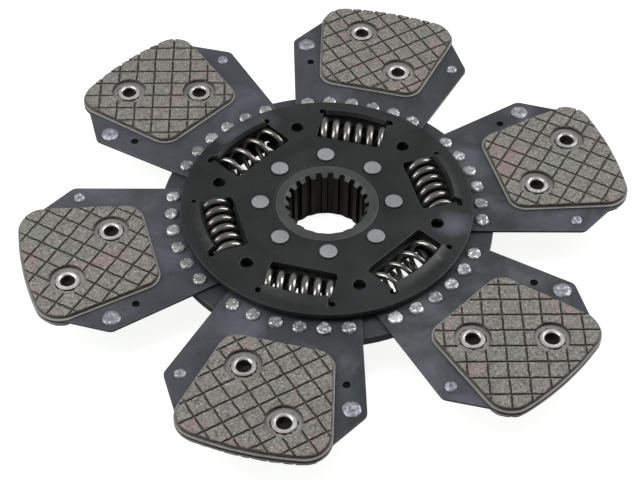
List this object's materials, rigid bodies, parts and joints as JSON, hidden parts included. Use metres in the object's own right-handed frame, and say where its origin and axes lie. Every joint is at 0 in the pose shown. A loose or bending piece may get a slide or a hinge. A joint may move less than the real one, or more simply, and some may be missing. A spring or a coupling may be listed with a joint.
{
  "type": "clutch disc",
  "caption": "Large clutch disc with paired grooved sintered pads riveted on flared sheet segments round a splined hub with a coil-sprung damper.",
  "frame": {"origin": "on the hub axis, at the rear end face of the hub", "axes": "+Z along the hub axis, out of the front, raised side of the disc; +X through the middle of one pair of pads"},
  "size_m": [0.33, 0.3112, 0.0361],
  "materials": {
    "hub_steel": "machined, dull",
    "cover_steel": "blackened pressed steel, satin",
    "carrier_steel": "blackened plate, satin",
    "segment_steel": "heat-tinted sheet, soft sheen",
    "friction_ring": "moulded friction material, matt",
    "spring_steel": "drawn wire, bright on the crowns",
    "backing_steel": "thin plated sheet, satin",
    "sintered_lining": "sintered metal, matt and mottled",
    "rivet_steel_grey": "plated, matt",
    "rivet_steel_bright": "upset heads, bright",
    "eyelet_steel": "rolled rims, bright"
  },
  "bodies": {
    "hub_and_covers": {"hub": "hub_steel", "front_cover_plate": "cover_steel", "rear_cover_plate": "cover_steel", "hub_rivets": "rivet_steel_grey", "front_friction_ring": "friction_ring", "rear_friction_ring": "friction_ring", "disc_spring": "spring_steel"},
    "friction_disc": {"carrier_disc": "carrier_steel", "segment_1": "segment_steel", "segment_2": "segment_steel", "segment_3": "segment_steel", "segment_4": "segment_steel", "segment_5": "segment_steel", "segment_6": "segment_steel", "front_backing_1": "backing_steel", "front_backing_2": "backing_steel", "front_backing_3": "backing_steel", "front_backing_4": "backing_steel", "front_backing_5": "backing_steel", "front_backing_6": "backing_steel", "rear_backing_1": "backing_steel", "rear_backing_2": "backing_steel", "rear_backing_3": "backing_steel", "rear_backing_4": "backing_steel", "rear_backing_5": "backing_steel", "rear_backing_6": "backing_steel", "front_lining_1": "sintered_lining", "front_lining_2": "sintered_lining", "front_lining_3": "sintered_lining", "front_lining_4": "sintered_lining", "front_lining_5": "sintered_lining", "front_lining_6": "sintered_lining", "rear_lining_1": "sintered_lining", "rear_lining_2": "sintered_lining", "rear_lining_3": "sintered_lining", "rear_lining_4": "sintered_lining", "rear_lining_5": "sintered_lining", "rear_lining_6": "sintered_lining", "pad_rivets": "eyelet_steel", "segment_rivets": "rivet_steel_bright", "balance_rivets_large": "eyelet_steel", "balance_rivets_small": "eyelet_steel"},
    "damper_springs": {"damper_spring_1": "spring_steel", "damper_spring_2": "spring_steel", "damper_spring_3": "spring_steel", "damper_spring_4": "spring_steel", "damper_spring_5": "spring_steel", "damper_spring_6": "spring_steel"}
  },
  "joints": [
    {"name": "damper_twist", "type": "hinge", "parent": "hub_and_covers", "child": "friction_disc", "pos_m": [0, 0, 0.0232], "axis": [0, 0, 1], "range_deg": [-7, 7], "stiffness_Nm_per_rad": 60},
    {"name": "spring_follow", "type": "hinge", "parent": "hub_and_covers", "child": "damper_springs", "pos_m": [0, 0, 0.0238], "axis": [0, 0, 1], "range_deg": [-3.5, 3.5], "deforming": ["damper_spring_1", "damper_spring_2", "damper_spring_3", "damper_spring_4", "damper_spring_5", "damper_spring_6"]}
  ],
  "couplings": [
    {"joint": "spring_follow", "follows": "damper_twist", "ratio": 0.5}
  ]
}
